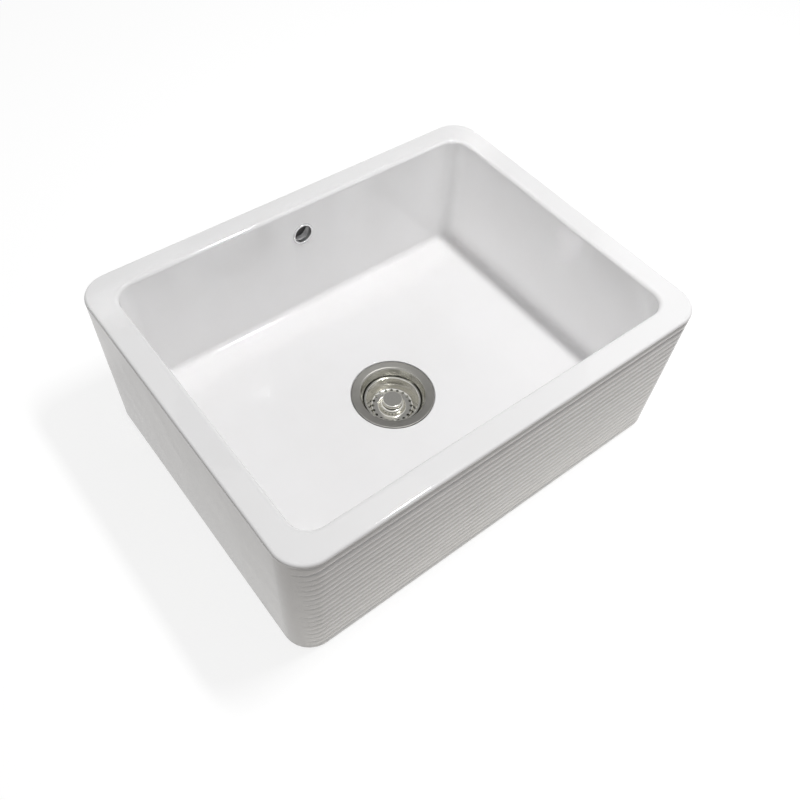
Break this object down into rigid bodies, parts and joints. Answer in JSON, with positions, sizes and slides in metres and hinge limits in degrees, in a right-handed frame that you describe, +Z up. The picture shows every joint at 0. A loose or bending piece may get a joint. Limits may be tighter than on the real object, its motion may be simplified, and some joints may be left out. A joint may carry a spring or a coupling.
{
  "type": "fireclay kitchen sink",
  "caption": "Rectangular glazed fireclay sink with a ribbed apron, an overflow in its back wall and a waste with a lift-out strainer basket.",
  "frame": {"origin": "middle of the plane that the foot stands on", "axes": "+Z up, -Y towards the ribbed apron and the user, +X to the user's right"},
  "size_m": [0.595, 0.46, 0.2755],
  "materials": {
    "glazed_fireclay": "gloss white glaze",
    "chrome_trim": "bright chrome plate",
    "cup_stainless": "satin stainless steel",
    "basket_stainless": "polished stainless steel",
    "fastener_stainless": "plain stainless steel",
    "seal_rubber": "black moulded rubber",
    "moulded_plastic": "off-white moulded polypropylene",
    "insert_brass": "turned brass"
  },
  "bodies": {
    "sink": {"sink_body": "glazed_fireclay", "overflow_ring": "chrome_trim", "flange_seal": "seal_rubber", "strainer_cup": "cup_stainless", "under_seal": "seal_rubber", "waste_body": "moulded_plastic", "thread_insert": "insert_brass", "clamp_screw": "fastener_stainless", "screw_seal": "seal_rubber"},
    "basket": {"strainer_basket": "basket_stainless", "lift_knob": "basket_stainless", "stem_spacer": "fastener_stainless", "seal_disc": "seal_rubber", "seal_backing": "fastener_stainless", "stem_nut": "fastener_stainless"}
  },
  "joints": [
    {"name": "basket_lift", "type": "slide", "parent": "sink", "child": "basket", "axis": [0, 0, 1], "range_m": [0, 0.225]}
  ]
}
